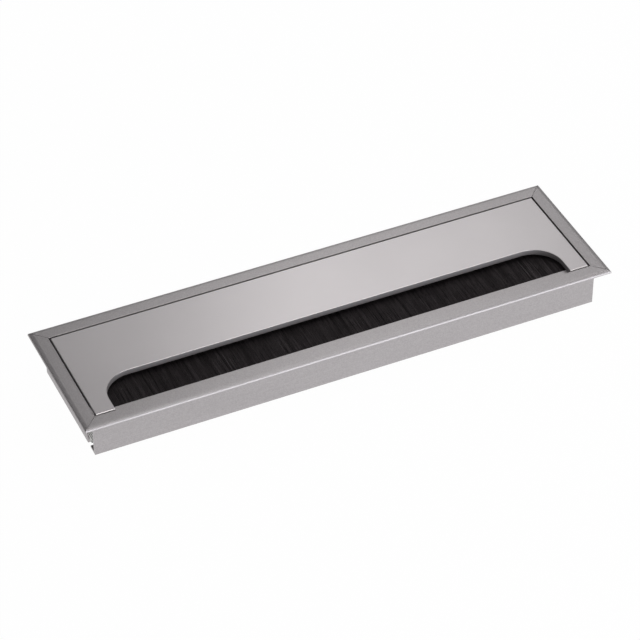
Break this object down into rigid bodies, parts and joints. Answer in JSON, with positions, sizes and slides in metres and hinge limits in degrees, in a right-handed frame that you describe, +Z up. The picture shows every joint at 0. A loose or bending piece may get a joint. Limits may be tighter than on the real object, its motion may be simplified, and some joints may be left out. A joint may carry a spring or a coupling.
{
  "type": "cable grommet",
  "caption": "Rectangular desk cable grommet: mitred aluminium frame with a flange, a loose lid with a long cable cut-out, and a black brush strip that closes the cut-out.",
  "frame": {"origin": "middle of the footprint, on the surface that the frame stands on", "axes": "+X along the long side, +Y away from the cut-out side, +Z up through the lid"},
  "size_m": [0.2904, 0.0804, 0.0238],
  "materials": {
    "anodised_rail": "satin anodised extrusion",
    "anodised_lid": "satin anodised sheet",
    "cast_key": "die-cast, dull",
    "galvanised_strip": "galvanised sheet and wire",
    "nylon_bristle": "black nylon filament"
  },
  "bodies": {
    "root": {"front_rail": "anodised_rail", "back_rail": "anodised_rail", "left_rail": "anodised_rail", "right_rail": "anodised_rail", "lid": "anodised_lid", "corner_key_front_left": "cast_key", "corner_key_front_right": "cast_key", "corner_key_back_left": "cast_key", "corner_key_back_right": "cast_key", "brush_channel": "galvanised_strip", "brush_core_wire": "galvanised_strip", "brush_bristles": "nylon_bristle"}
  },
  "joints": []
}
